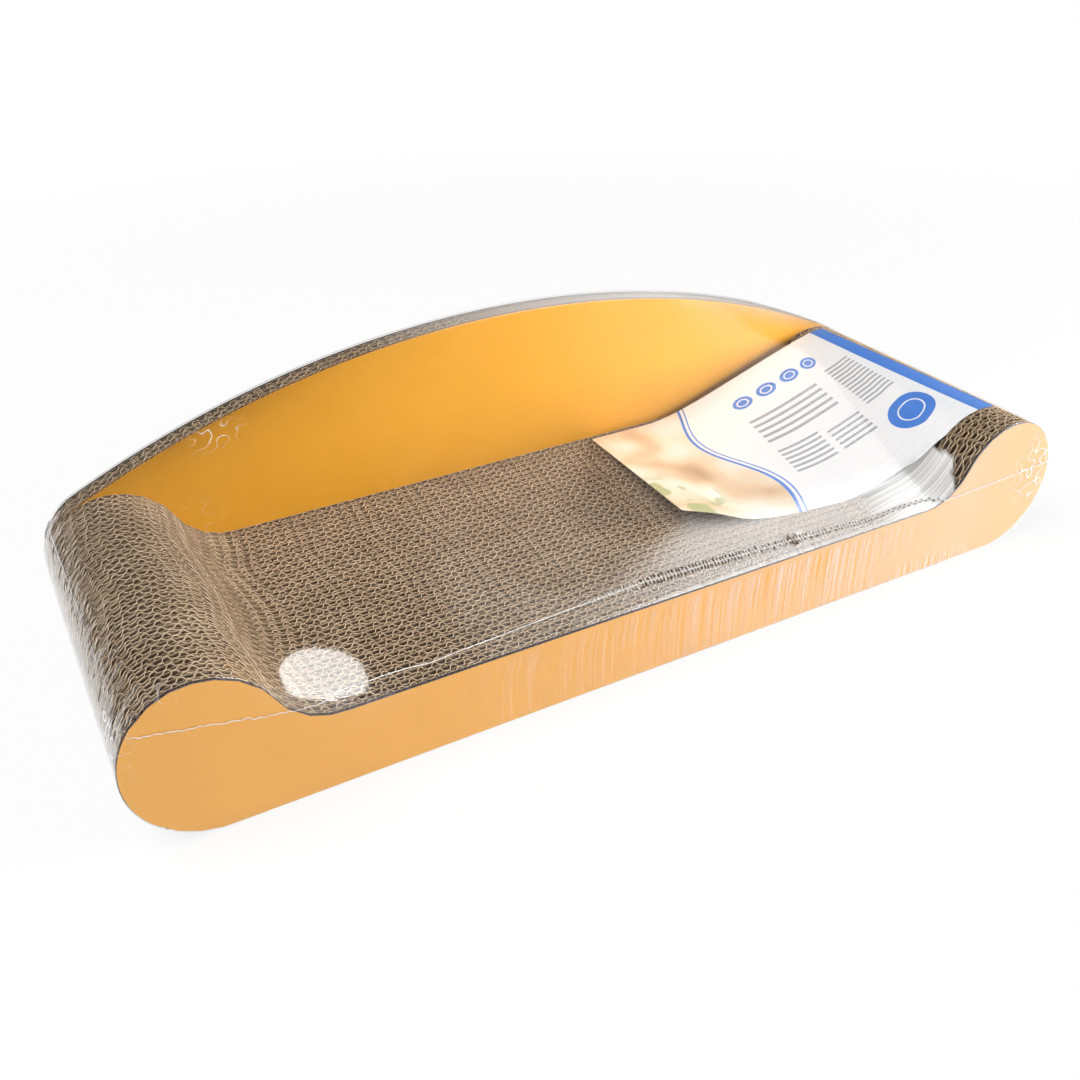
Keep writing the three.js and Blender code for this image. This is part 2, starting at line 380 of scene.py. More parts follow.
def seat_line(x, fillet=fillet_radius, side=0.0, top=0.0):
    """Top edge of the seat boards: seat, fillet, crown of the lobe, rounded end."""
    x = np.abs(x)
    radius = crown_radius + top
    crown_z = lobe_height - crown_radius
    fillet_z = seat_height + top + fillet
    run = math.sqrt((radius + fillet) ** 2 - (fillet_z - crown_z) ** 2)
    fillet_x = crown_x - run
    meet_x = crown_x - run * radius / (radius + fillet)
    hollow = fillet_z - np.sqrt(np.clip(fillet**2 - (x - fillet_x) ** 2, 0, None))
    crown = crown_z + np.sqrt(np.clip(radius**2 - (x - crown_x) ** 2, 0, None))
    flat = np.full_like(x, seat_height + top)
    return np.select(
        [x < fillet_x, x < meet_x, x < crown_x], [flat, hollow, crown], end_line(x, side, top)
    )


def arch_line(x, side=0.0, top=0.0):
    """Top edge of the backrest: an arch that touches the rounded ends."""
    radius_x = crown_curve_width + side
    radius_z = lobe_height - widest_height + top
    low, high = 0.0, math.pi / 2
    for _ in range(50):
        angle = (low + high) / 2
        touch_x = crown_x + radius_x * math.cos(angle)
        touch_z = widest_height + radius_z * math.sin(angle)
        slope = math.atan2(math.sin(angle) / radius_z, math.cos(angle) / radius_x)
        radius = touch_x / math.cos(slope)
        centre_z = touch_z - radius * math.sin(slope)
        if centre_z + radius > backrest_height + top:
            low = angle
        else:
            high = angle
    arch = centre_z + np.sqrt(np.clip(radius**2 - x**2, 0, None))
    return np.where(np.abs(x) < touch_x, arch, end_line(x, side, top))


# Materials
def operator(operation, swapped=False):
    """A method that adds one Math node."""

    def method(value, *others):
        values = (*others, value) if swapped else (value, *others)
        return value.finish.node("ShaderNodeMath", {"operation": operation}, *values)

    return method


class Value:
    """A number carried by a socket. Arithmetic on it adds Math nodes."""

    def __init__(self, finish, socket):
        self.finish = finish
        self.socket = socket

    __add__ = operator("ADD")
    __radd__ = operator("ADD", swapped=True)
    __sub__ = operator("SUBTRACT")
    __rsub__ = operator("SUBTRACT", swapped=True)
    __mul__ = operator("MULTIPLY")
    __rmul__ = operator("MULTIPLY", swapped=True)
    __truediv__ = operator("DIVIDE")
    __pow__ = operator("POWER")
    __abs__ = operator("ABSOLUTE")
    sine = operator("SINE")
    wrapped = operator("FRACT")
    least = operator("MINIMUM")
    most = operator("MAXIMUM")

    def ramp(self, low, high):
        """0 below low, 1 above high, smooth between them."""
        settings = {"interpolation_type": "SMOOTHSTEP"}
        return self.finish.node("ShaderNodeMapRange", settings, self, low, high, 0.0, 1.0)


class Finish:
    """One material. Its constants go straight on the shader's sockets."""

    def __init__(self, name, **constants):
        self.material = bpy.data.materials.new(name)
        self.material.use_nodes = True
        self.tree = self.material.node_tree
        self.shader = self.tree.nodes["Principled BSDF"]
        for socket, value in constants.items():
            self.shader.inputs[socket.replace("_", " ")].default_value = value

    def node(self, kind, settings, *inputs, output=0, **named):
        """Adds a node, sets it, fills its sockets in order or by name, and gives its output."""
        node = self.tree.nodes.new(kind)
        for key, value in settings.items():
            if key == "stops":
                self.set_ramp(node.color_ramp, value)
            else:
                setattr(node, key, value)
        pairs = list(enumerate(inputs))
        pairs += [(key.replace("_", " "), value) for key, value in named.items()]
        for key, value in pairs:
            if isinstance(value, Value):
                self.tree.links.new(value.socket, node.inputs[key])
            elif value is not None:
                node.inputs[key].default_value = value
        return Value(self, node.outputs[output])

    @staticmethod
    def set_ramp(ramp, stops):
        while len(ramp.elements) < len(stops):
            ramp.elements.new(1.0)
        for element, (place, colour) in zip(ramp.elements, stops):
            element.position = place
            element.color = (*colour, 1.0)

    def places(self, source="Object"):
        """Coordinates, and their three numbers."""
        at = self.node("ShaderNodeTexCoord", {}, output=source)
        apart = [self.node("ShaderNodeSeparateXYZ", {}, at, output=k) for k in range(3)]
        return at, *apart

    def scaled(self, at, scale):
        return self.node("ShaderNodeVectorMath", {"operation": "MULTIPLY"}, at, scale)

    def vector(self, x, y, z):
        return self.node("ShaderNodeCombineXYZ", {}, x, y, z)

    def noise(self, at, scale, detail=2.0, roughness=0.5):
        return self.node(
            "ShaderNodeTexNoise", {}, Vector=at, Scale=scale, Detail=detail, Roughness=roughness
        )

    def colours(self, share, stops):
        return self.node("ShaderNodeValToRGB", {"stops": stops}, share)

    def mix(self, share, first, second):
        """Mix of two colours."""
        node = self.tree.nodes.new("ShaderNodeMix")
        node.data_type = "RGBA"
        for key, value in ((0, share), (6, first), (7, second)):
            if isinstance(value, Value):
                self.tree.links.new(value.socket, node.inputs[key])
            else:
                node.inputs[key].default_value = value
        return Value(self, node.outputs[2])

    def feed(self, socket, value):
        self.tree.links.new(value.socket, self.shader.inputs[socket])

    def bump(self, height, strength, distance):
        normal = self.node(
            "ShaderNodeBump", {}, Strength=strength, Distance=distance, Height=height
        )
        self.feed("Normal", normal)


def kraft_finish(name, dark, light, depth_shade_share=1.0):
    """Brown paper with fibres and slow changes of tone, and painted shade deeper in the flutes."""
    finish = Finish(name, Roughness=0.88)
    finish.shader.inputs["Specular IOR Level"].default_value = 0.2
    at, x, y, z = finish.places()
    fibres = finish.noise(finish.scaled(at, (900, 900, 260)), 1.0, 3.0)
    tone = finish.noise(at, 45.0, 2.0)
    share = (0.65 * fibres + 0.5 * tone - 0.1).ramp(0.2, 0.8)
    colour = finish.colours(share, [(0.0, dark), (1.0, light)])
    # Painted shade: the colour darkens deeper in the flutes, down to the given share of it
    if depth_shade_share < 1:
        deep = finish.node("ShaderNodeAttribute", {"attribute_name": "deep"}, output=2)
        shade = 1 - (1 - depth_shade_share) * deep
        colour = finish.scaled(colour, finish.vector(shade, shade, shade))
    finish.feed("Base Color", colour)
    finish.bump(fibres, 0.25, 0.0002)
    return finish.material


def print_finish():
    """Orange ink on white-lined board: even colour, a little mottle, satin varnish."""
    finish = Finish("orange_print", Roughness=0.42)
    at, x, y, z = finish.places()
    mottle = finish.noise(at, 25.0, 2.0)
    grain = finish.noise(at, 900.0, 2.0)
    share = 0.8 * mottle + 0.2 * grain
    ink = finish.colours(share, [(0.3, (0.85, 0.395, 0.026)), (0.7, (0.89, 0.422, 0.030))])
    finish.feed("Base Color", ink)
    finish.feed("Roughness", 0.4 + 0.1 * grain)
    # The fluting under the print shows as a faint washboard
    wash = (x * (math.tau * panel_waves / (2 * half_length))).sine()
    finish.bump(0.1 * wash + 0.3 * grain, 0.02, 0.0002)
    return finish.material


# The brown paper darkens to 0.2 of its colour deep in the flutes, as painted shade
kraft = kraft_finish("kraft_paper", (0.42, 0.293, 0.175), (0.6, 0.437, 0.278), 0.2)
kraft_edge = kraft_finish("kraft_cut_edge", (0.66, 0.485, 0.32), (0.93, 0.75, 0.54))
kraft_liner_edge = kraft_finish("kraft_liner_edge", (0.43, 0.305, 0.19), (0.67, 0.5, 0.325))
# Recycled paper of the panels: its own dark grey-brown, made darker still as painted shade in the
# flutes and on the cut edge
recycled_board_and_shade = kraft_finish("recycled_paper_and_painted_shade", (0.06, 0.042, 0.038), (0.12, 0.085, 0.075))
recycled_edge_and_shade = kraft_finish("recycled_cut_edge_and_painted_shade", (0.07, 0.05, 0.045), (0.15, 0.105, 0.09))
orange_print = print_finish()
orange_edge = kraft_finish("printed_cut_edge", (0.62, 0.33, 0.12), (0.8, 0.5, 0.24))


# Corrugated boards
def deselect():
    bpy.ops.object.select_all(action="DESELECT")


def stations(count):
    """Places along the length: even ones, and closer ones where the ends are steep."""
    even = np.linspace(-half_length, half_length, count + 1)
    angles = np.linspace(turn_start, math.pi / 2, turn_steps)
    turn = foot_x + foot_curve_width * np.sin(angles)
    return np.unique(np.round(np.concatenate([even, turn, -turn]), 6))


def paper(xs, ys, top_line, uneven=0.0):
    """One upright sheet of paper as wide as the board, cut to the outline."""
    deselect()
    bpy.ops.mesh.primitive_grid_add(x_subdivisions=len(xs) - 1, y_subdivisions=2, size=1)
    sheet = bpy.context.object
    low, high = underside(xs), top_line(xs)
    high = np.maximum(high - uneven * random_state.random(len(xs)), low)
    at = np.empty(len(sheet.data.vertices) * 3)
    sheet.data.vertices.foreach_get("co", at)
    at = at.reshape(-1, 3)
    column = np.round((at[:, 0] + 0.5) * (len(xs) - 1)).astype(int)
    row = np.round((at[:, 1] + 0.5) * 2).astype(int)
    middle = np.maximum(high - painted_shade_depth, (low + high) / 2)
    at[:, 0] = xs[column]
    at[:, 1] = ys[column]
    at[:, 2] = base_z + np.stack([low, middle, high])[row, column]
    sheet.data.vertices.foreach_set("co", at.ravel())
    # Painted shade: 0 at the cut edge, 1 from the middle row down, darkening the paper there
    deep = sheet.data.attributes.new("deep", "FLOAT", "POINT")
    deep.data.foreach_set("value", (row < 2).astype(np.float32))
    return sheet


def fluting(waves, middle, room, top_line, uneven, phase_start):
    """A corrugated sheet between two liners, its waves and its cut edge a little irregular."""
    xs = stations(waves * points_per_wave)
    start = phase_start + phase_spread * random_state.random()
    drift = math.tau * random_state.random()
    phase = math.tau * waves * xs / (2 * half_length) + start
    for (pitch, amount), shift in zip(wave_drifts, (drift, start)):
        phase += amount * np.sin(xs * pitch + shift)
    swing = (room - flute_thickness) / 2 * (1 - swing_loss * random_state.random(len(xs)))
    wave = np.sin(phase + wave_lean * np.cos(phase))
    wave /= np.sqrt((wave**2 + flank_ease) / (1 + flank_ease))
    return paper(xs, middle + swing * wave, top_line, uneven)


def walled(sheets, thickness, finishes):
    """Joins the sheets and gives them their thickness, cut edges in the second finish."""
    deselect()
    for sheet in sheets:
        sheet.select_set(True)
    board = sheets[0]
    bpy.context.view_layer.objects.active = board
    bpy.ops.object.join()
    for finish in finishes:
        board.data.materials.append(finish)
    bpy.ops.object.modifier_add(type="SOLIDIFY")
    wall = board.modifiers[-1]
    wall.thickness = thickness
    wall.offset = 0
    wall.material_offset_rim = 1
    bpy.ops.object.modifier_apply(modifier=wall.name)
    return board


def corrugated(name, y, thickness, top_line, waves, shares, finishes, uneven=0.0, start=0.0):
    """A board from its front face at y: liners with a fluting between each two of them."""
    room = thickness - (len(waves) + 1) * liner_thickness
    at = y + liner_thickness / 2
    xs = stations(liner_steps)
    liners = [paper(xs, np.full_like(xs, at), top_line)]
    flutes = []
    for count, share in zip(waves, shares):
        middle = at + (liner_thickness + room * share) / 2
        flutes.append(fluting(count, middle, room * share, top_line, uneven, start))
        at += room * share + liner_thickness
        liners.append(paper(xs, np.full_like(xs, at), top_line))
    paper_finish, flute_edge, liner_edge = finishes
    flute_wall = min(flute_thickness, thickness * thin_board_flutes)
    inner = walled(flutes, flute_wall, (paper_finish, flute_edge))
    board = walled(liners, liner_thickness, (paper_finish, liner_edge))
    deselect()
    inner.select_set(True)
    board.select_set(True)
    bpy.context.view_layer.objects.active = board
    bpy.ops.object.join()
    board.name = name
    bpy.ops.object.shade_smooth_by_angle(angle=board_smooth_angle)
    return board


def stand_for(piece, node):
    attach(piece, "root")
    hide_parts(node)
    return piece


def double_wall(name, y, thickness, top_line, start=0.0):
    return corrugated(
        name,
        y,
        thickness,
        top_line,
        (fine_waves, coarse_waves),
        (1 - coarse_share, coarse_share),
        (kraft, kraft_edge, kraft_liner_edge),
        edge_unevenness,
        start,
    )


def copied(board, name, shift):
    """A copy with a mesh of its own, moved along the depth."""
    deselect()
    board.select_set(True)
    bpy.context.view_layer.objects.active = board
    bpy.ops.object.duplicate()
    copy = bpy.context.object
    copy.name = name
    copy.data.transform(Matrix.Translation((0, shift, 0)))
    return copy


def printed(board, front):
    """Gives the print to the faces on one side of a panel."""
    board.data.materials.append(orange_print)
    print_slot = len(board.data.materials) - 1
    side = -1 if front else 1
    ys = [v.co.y for v in board.data.vertices]
    face_y = min(ys) if front else max(ys)
    for face in board.data.polygons:
        if face.normal.y * side > 0.9 and abs(face.center.y - face_y) < liner_thickness / 4:
            face.material_index = print_slot
    return board


seat_nodes = [f"seat_layer_{k:02d}" for k in range(1, 33)]
patterns = []
for k, node in enumerate(seat_nodes):
    low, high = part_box(node)
    if k < board_patterns:
        board = double_wall(f"{node}_board", low.y, high.y - low.y, seat_line, phase_step * k)
        patterns.append((board, low.y))
    else:
        # Forth and back through the patterns, so that the waves drift from board to board
        back = k // board_patterns % 2
        model, model_y = patterns[-1 - k % board_patterns if back else k % board_patterns]
        board = copied(model, f"{node}_board", low.y - model_y)
    stand_for(board, node)
for node in ("backrest_layer_1", "backrest_layer_2"):
    low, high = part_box(node)
    board = double_wall(f"{node}_board", low.y, high.y - low.y, arch_line)
    stand_for(board, node)
for node, top_line, front, rim in (
    ("front_panel", seat_line, True, recycled_edge_and_shade),
    ("backrest_face_panel", arch_line, True, orange_edge),
    ("back_panel", arch_line, False, recycled_edge_and_shade),
):
    low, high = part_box(node)
    panel = corrugated(
        f"{node}_print",
        low.y,
        high.y - low.y,
        top_line,
        (panel_waves,),
        (1.0,),
        (recycled_board_and_shade, rim, rim),
    )
    stand_for(printed(panel, front), node)


# Shrink film
def film_line(x, fillet=fillet_radius):
    """Inner height of a film that lies close over the seat boards."""
    return seat_line(x, fillet, film_side_gap, film_top_gap)


def film_heights():
    """Inner height of the film over the boards on an even grid. It is pulled straight between
    its edges like a soap skin and rests on the boards. At the right end it is slack along the
    length and hangs straight from the backrest to the front edge."""
    reach = half_length + film_side_gap
    xs = np.linspace(-reach, reach, film_grid_steps[0])
    ys = np.linspace(front_y - film_face_gap, seat_back_y, film_grid_steps[1])
    front = np.where(xs < 0, film_line(xs, film_left_fillet), film_line(xs, film_right_fillet))
    back = arch_line(xs, film_side_gap, film_top_gap)
    least = film_line(xs)[:, None]
    share = (ys - ys[0]) / (ys[-1] - ys[0])
    z = np.maximum(front[:, None] * (1 - share) + back[:, None] * share, least)
    pull = np.interp(xs, film_slack_span, (1.0, film_slack_pull))[1:-1, None]
    pull_x = pull / (xs[1] - xs[0]) ** 2
    pull_y = 1 / (ys[1] - ys[0]) ** 2
    odd = np.add.outer(np.arange(1, len(xs) - 1), np.arange(1, len(ys) - 1)) % 2 == 1
    inner = z[1:-1, 1:-1]
    for _ in range(film_rounds):
        for turn in (odd, ~odd):
            pulled = pull_x * (z[2:, 1:-1] + z[:-2, 1:-1]) + pull_y * (z[1:-1, 2:] + z[1:-1, :-2])
            pulled /= 2 * (pull_x + pull_y)
            moved = np.maximum(inner + film_overshoot * (pulled - inner), least[1:-1])
            inner[turn] = moved[turn]
    return xs, ys, z


def between(x, y, xs, ys, z):
    """Value of a grid at places between its points."""
    i = np.clip(np.searchsorted(xs, x) - 1, 0, len(xs) - 2)
    k = np.clip(np.searchsorted(ys, y) - 1, 0, len(ys) - 2)
    u = np.clip((x - xs[i]) / (xs[i + 1] - xs[i]), 0, 1)
    v = np.clip((y - ys[k]) / (ys[k + 1] - ys[k]), 0, 1)
    near = z[i, k] * (1 - u) + z[i + 1, k] * u
    far = z[i, k + 1] * (1 - u) + z[i + 1, k + 1] * u
    return near * (1 - v) + far * v


film_grid = film_heights()


def film_top(x, y):
    """Inner height of the film above the base at any place over the boards."""
    xs, ys, z = film_grid
    return film_line(x) + between(x, y, xs, ys, z - film_line(xs)[:, None])


def seam_height(x):
    """Height of the weld between the two webs above the base, along the length."""
    along, up = np.array(seam_shares).T
    return lobe_height * np.interp(x / (2 * half_length), along, up)


def film_finish():
    """Clear film: it reflects at both of its faces, more so at a flat angle, and lets the rest
    through. A white share paints hazy reflections, a highlight along the front rim, and highlights
    on the fine drawn lines, which are also whitened creases, and on the bunched places."""
    finish = Finish("shrink_film")
    finish.shader.inputs["Base Color"].default_value = (1, 1, 1, 1)
    facing = finish.node("ShaderNodeLayerWeight", {}, Blend=0.5, output=1)
    face = 0.04 + 0.96 * facing**5
    at, x, y, z = finish.places()
    touch, crumple, drawn, milk, pressed, strand, blur = (
        finish.node("ShaderNodeAttribute", {"attribute_name": name}, output=2)
        for name in ("touch", "crumple", "drawn", "milk", "pressed", "strand", "blur")
    )
    dulled = (1 - pressed_share * pressed) * (1 - milk * 1.3).most(0.1)
    clear = 2 * face / (1 + face) * dulled
    ripple = finish.noise(at, ripple_scale, 1.0)
    dents = finish.noise(finish.scaled(at, dent_scale), 1.0, 2.0)
    folds = finish.noise(finish.scaled(at, fold_scale), 1.0, 3.0)
    teeth = finish.noise(finish.scaled(at, tooth_scale), 1.0, 2.0) * (0 - x).ramp(*tooth_span)

    def strands(scale, row):
        """Noise drawn out along the lines of the film."""
        pitch, along_y, along_z = scale
        drift = z * along_z + y * along_y
        return finish.noise(finish.vector(strand * pitch, row, drift), 1.0, 1.0)

    lines = strands(line_scale, 0.0)
    there = strands((gap_scale[0], 0.0, gap_scale[1]), 5.0).ramp(0.3, 0.42)
    # Whitened creases along the drawn lines; their white also paints the creases' highlights
    crease_and_highlight = (1 - abs(lines - 0.5).ramp(0.0, 0.07)) * there * drawn
    # Painted highlights in thin loops over the bunched places
    loops = finish.noise(at, loop_scale, 0.0)
    bunch_highlight = crumple * (1 - abs(loops - 0.5).ramp(0.0, 0.05))
    stripe = (strands(stripe_scale, 9.0) - 0.5).ramp(-0.16, 0.16)
    cells = 1 + 0.5 * touch * (dents - 0.5)
    streaks = 1 + drawn * there * stripe_swing * (stripe - 0.5)
    # Painted light: the white share paints hazy reflections and a highlight along the front rim
    white = milk * cells * streaks + crease_white_and_highlight * crease_and_highlight + bunch_painted_highlight * bunch_highlight
    finish.feed("Alpha", (clear + white).least(1.0))
    finish.feed("Metallic", (clear / (clear + white)).least(1.0))
    finish.feed("Roughness", film_roughness + film_blurred * blur)
    height = ripple_height * ripple + dent_height * touch * dents
    height = height + fold_height * crumple * folds + line_height * drawn * lines
    finish.bump(height + tooth_height * teeth, *film_bump)
    return finish.material


def film_inside():
    """Inner face of the film. Its reflection is counted at the outer face."""
    finish = Finish("shrink_film_inner_face", Roughness=film_roughness, Alpha=0.0)
    return finish.material


def film_shell():
    """Points of the closed shell round the boards: columns along the length, and along the
    depth or the height."""
    reach = half_length + film_side_gap
    angles = np.linspace(film_turn_start, math.pi / 2, film_turn_steps)
    turn = foot_x + (reach - foot_x) * np.sin(angles)
    inner = np.linspace(-turn[0], turn[0], film_columns)
    xs = np.unique(np.round(np.concatenate([inner, turn, -turn]), 6))
    ys = np.linspace(film_grid[1][0], film_grid[1][-1], film_rows)
    ys = np.append(ys, back_y + film_face_gap)
    top = np.array([film_top(xs, np.full_like(xs, y)) for y in ys]).T
    arch = arch_line(xs, film_side_gap, film_top_gap)
    top[:, -2] = arch
    top[:, -1] = arch
    past = np.clip((np.abs(xs) - foot_x) / (reach - foot_x), 0, 1)
    under = widest_height - (widest_height + film_base_gap) * np.sqrt(1 - past**2)
    return xs, ys, top + base_z, under + base_z


def film_skin():
    """The whole skin as one closed mesh."""
    xs, ys, top, under = film_shell()
    skin = bmesh.new()

    def patch(points):
        verts = [[skin.verts.new(p) for p in line] for line in points]
        for a, b in zip(verts, verts[1:]):
            for k in range(len(a) - 1):
                skin.faces.new((a[k], b[k], b[k + 1], a[k + 1]))

    patch([[(x, y, z) for y, z in zip(ys, line)] for x, line in zip(xs, top)])
    under_ys = [*ys[::film_under_step], ys[-1]]
    patch([[(x, y, z) for y in under_ys] for x, z in zip(xs, under)])
    steps = np.linspace(0, 1, film_face_rows)
    for column, y in ((0, ys[0]), (-1, ys[-1])):
        patch(
            [
                [(x, y, low + (line[column] - low) * step) for step in steps]
                for x, low, line in zip(xs, under, top)
            ]
        )
    bmesh.ops.remove_doubles(skin, verts=skin.verts, dist=film_weld_distance)
    bmesh.ops.dissolve_degenerate(skin, edges=skin.edges, dist=film_weld_distance / 10)
    bmesh.ops.recalc_face_normals(skin, faces=skin.faces)
    return skin


def bell(value, place, reach):
    """1 at a place, falling to 0 over a few times the reach."""
    return np.exp(-(((value - place) / reach) ** 2))


def film_marks(mesh):
    """How closely the film lies on the board edges, how crumpled it is, and where it is drawn
    into fine lines, at each point of a web."""
    count = len(mesh.vertices)
    at = np.empty(count * 3)
    mesh.vertices.foreach_get("co", at)
    x, y, z = at.reshape(-1, 3).T
    z = z - base_z
    on_front = y < front_y
    on_boards = ~on_front & (y <= back_y)
    run = x / (2 * half_length)

    touch = np.clip(1 - (z - film_line(x)) / touch_gap, 0, 1) * on_boards
    touch *= np.where(y < touch_front_y, np.interp(x, *touch_front), 1)

    crumple = np.zeros(count)
    for place, reach, amount in crumpled_spots:
        apart = (at.reshape(-1, 3) - np.array(place)) / np.array(reach)
        crumple = np.maximum(crumple, amount * np.exp(-(apart**2).sum(axis=1)))

    face = np.interp(run, *front_drawn)
    face *= np.clip(front_foot_share + (1 - front_foot_share) * z / seat_height, 0, 1)
    face *= np.clip((seat_line(x) - z - edge_gap) / edge_softness, 0, 1)
    foot = bell(z, foot_height, foot_reach) * np.interp(run, *foot_drawn)
    fan = bell(z - film_line(x, film_left_fillet), 0, fan_reach) * bell(run, *fan_run)
    rim = np.exp(-np.clip(y - front_y, 0, None) / rim_reach)
    spikes = rim * bell(x, *spike_places)
    drawn = np.where(on_front, face, np.maximum(spikes, rim_drawn * rim))
    drawn = np.maximum(drawn, np.maximum(foot, fan) * on_front)

    # Painted reflection haze in the hollow, on the front, over the backrest and along the arch,
    # and a painted highlight along the front rim
    in_hollow = np.clip((np.interp(y, *hollow_end) - x) / hollow_end_softness, 0, 1)
    in_hollow *= np.interp(y, hollow_back, (1, 0))
    rim_width = np.clip(1 - (y - front_y) / rim_highlight_width, 0, 1) * (x < rim_highlight_end)
    veil = np.interp(x, *veil_painted_haze) * np.clip(y / seat_back_y, 0, 1) ** veil_power
    veil *= np.interp(z, *veil_rise)
    arch = np.interp(x, *arch_painted_haze) * np.interp(z, *arch_rise) * (y > seat_back_y - arch_margin)
    milk = np.interp(run, *front_painted_haze) * on_front
    for share in (np.interp(x, *hollow_painted_haze) * in_hollow, np.interp(x, *rim_painted_highlight) * rim_width):
        milk = np.maximum(milk, share * ~on_front)
    milk = np.maximum(milk, np.maximum(veil, arch) * (y < back_y))

    pressed = np.clip((y - np.interp(x, *pressed_edge)) / pressed_softness + 0.5, 0, 1)
    pressed *= np.interp(x, *pressed_fade) * (y < back_y)
    near = (y < pressed_front_y) & ~on_front
    pressed = np.maximum(pressed, np.interp(x, *pressed_front) * near)

    fall = np.maximum(z - seat_height, -slant_depth)
    strand = x - np.where(on_front, np.interp(x, *slants) * fall, 0)
    bowl = ~on_front & (x > hollow_drawn_x) & (y < hollow_drawn_y)
    strand = np.where(bowl, hollow_crowding * (y - hollow_slant * x), strand)
    drawn = np.where(bowl, np.interp(x, *hollow_drawn), drawn)
    blur = np.interp(x, *film_blur) * ~on_front
    marks = {
        "touch": touch,
        "crumple": crumple,
        "drawn": drawn,
        "milk": milk,
        "pressed": pressed,
        "strand": strand,
        "blur": blur,
    }
    for name, values in marks.items():
        mark = mesh.attributes.new(name, "FLOAT", "POINT")
        mark.data.foreach_set("value", values.astype(np.float32))


def film_web(name, skin, upper, finishes):
    """The part of the skin above or below the weld, with its thickness."""
    half = skin.copy()
    wrong = [f for f in half.faces if (f.calc_center_median().z > 0) != upper]
    bmesh.ops.delete(half, geom=wrong, context="FACES")
    mesh = bpy.data.meshes.new(name)
    half.to_mesh(mesh)
    half.free()
    at = np.empty(len(mesh.vertices) * 3)
    mesh.vertices.foreach_get("co", at)
    at = at.reshape(-1, 3)
    at[:, 2] += seam_height(at[:, 0]) + base_z
    mesh.vertices.foreach_set("co", at.ravel())
    mesh.update()
    film_marks(mesh)
    web = bpy.data.objects.new(name, mesh)
    bpy.context.collection.objects.link(web)
    for finish in finishes:
        mesh.materials.append(finish)
    deselect()
    web.select_set(True)
    bpy.context.view_layer.objects.active = web
    bpy.ops.object.modifier_add(type="SOLIDIFY")
    wall = web.modifiers[-1]
    wall.thickness = film_thickness
    wall.offset = -1
    wall.material_offset = 1
    wall.material_offset_rim = 0
    bpy.ops.object.modifier_apply(modifier=wall.name)
    bpy.ops.object.shade_smooth_by_angle(angle=film_smooth_angle)
    return web


def film_webs():
    """Both webs. The skin is levelled so that the weld is flat, cut there, and put back."""
    skin = film_skin()
    paired = [e for e in skin.edges if len(e.link_faces) == 2]
    bmesh.ops.bevel(
        skin,
        geom=[e for e in paired if e.calc_face_angle() > film_edge_angle],
        offset=film_edge_radius,
        segments=film_edge_segments,
        profile=0.5,
        affect="EDGES",
    )
    ends = np.array([v.co.x for v in skin.verts])
    for vert, height in zip(skin.verts, seam_height(ends)):
        vert.co.z -= height + base_z
    everything = skin.verts[:] + skin.edges[:] + skin.faces[:]
    bmesh.ops.bisect_plane(skin, geom=everything, plane_co=(0, 0, 0), plane_no=(0, 0, 1))
    finishes = (film_finish(), film_inside())
    webs = []
    for name, node, upper in (
        ("film_lower_skin", "film_lower_web", False),
        ("film_upper_skin", "film_upper_web", True),
    ):
        webs.append(stand_for(film_web(name, skin, upper, finishes), node))
    skin.free()
    return webs


def seam_path():
    """Points of the weld on the film's front and top, and the film's normal at each."""
    xs = np.linspace(-end_reach(), end_reach(), seam_steps)
    height = seam_height(xs)
    front = front_y - film_face_gap
    rim = film_top(xs, np.full_like(xs, front))
    low, high = np.full_like(xs, front), np.full_like(xs, seat_back_y)
    for _ in range(search_rounds):
        middle = (low + high) / 2
        below = film_top(xs, middle) < height
        low, high = np.where(below, middle, low), np.where(below, high, middle)
    on_face = rim > height
    ys = np.where(on_face, front, low)
    step = slope_step
    slope_y = (film_top(xs, ys + step) - film_top(xs, ys)) / step
    slope_x = (film_top(xs + step, ys) - film_top(xs - step, ys)) / (2 * step)
    normals = np.stack([-slope_x, -slope_y, np.ones_like(xs)], axis=1)
    normals[on_face] = (0, -1, 0)
    normals /= np.linalg.norm(normals, axis=1)[:, None]
    return np.stack([xs, ys, height + base_z], axis=1), normals


def end_reach():
    """Half the length of the weld's stretch on the front."""
    low, high = crown_x, half_length
    for _ in range(search_rounds):
        middle = (low + high) / 2
        above = end_line(np.array([middle]))[0] > seam_height(np.array([middle]))[0]
        low, high = (middle, high) if above else (low, middle)
    return low


def ribbon(name, points, across, out, widths, heights, finish):
    """A closed strip of lens-shaped section along points, across and out being directions."""
    sides = np.linspace(0, math.tau, weld_sides, endpoint=False)
    rings = []
    for point, side, up, width, height in zip(points, across, out, widths, heights):
        rings.append(
            [point + side * width * math.cos(a) + up * height * math.sin(a) for a in sides]
        )
    tube = bmesh.new()
    verts = [[tube.verts.new(p) for p in ring] for ring in rings]
    for a, b in zip(verts, verts[1:]):
        for k in range(weld_sides):
            tube.faces.new((a[k], a[k - 1], b[k - 1], b[k]))
    tube.faces.new(verts[0])
    tube.faces.new(verts[-1][::-1])
    bmesh.ops.recalc_face_normals(tube, faces=tube.faces)
    mesh = bpy.data.meshes.new(name)
    tube.to_mesh(mesh)
    tube.free()
    mesh.materials.append(finish)
    piece = bpy.data.objects.new(name, mesh)
    bpy.context.collection.objects.link(piece)
    for face in mesh.polygons:
        face.use_smooth = len(face.vertices) == 4
    return piece


def weld_finish():
    """White, half-clear bead where the film is melted together."""
    finish = Finish("film_weld", Roughness=0.35, Alpha=0.85)
    at, x, y, z = finish.places()
    frost = finish.noise(at, 900.0, 2.0)
    finish.feed("Base Color", finish.colours(frost, [(0.3, (0.75, 0.74, 0.72)), (0.7, (1, 1, 1))]))
    finish.bump(frost, 0.5, 0.0003)
    return finish.material


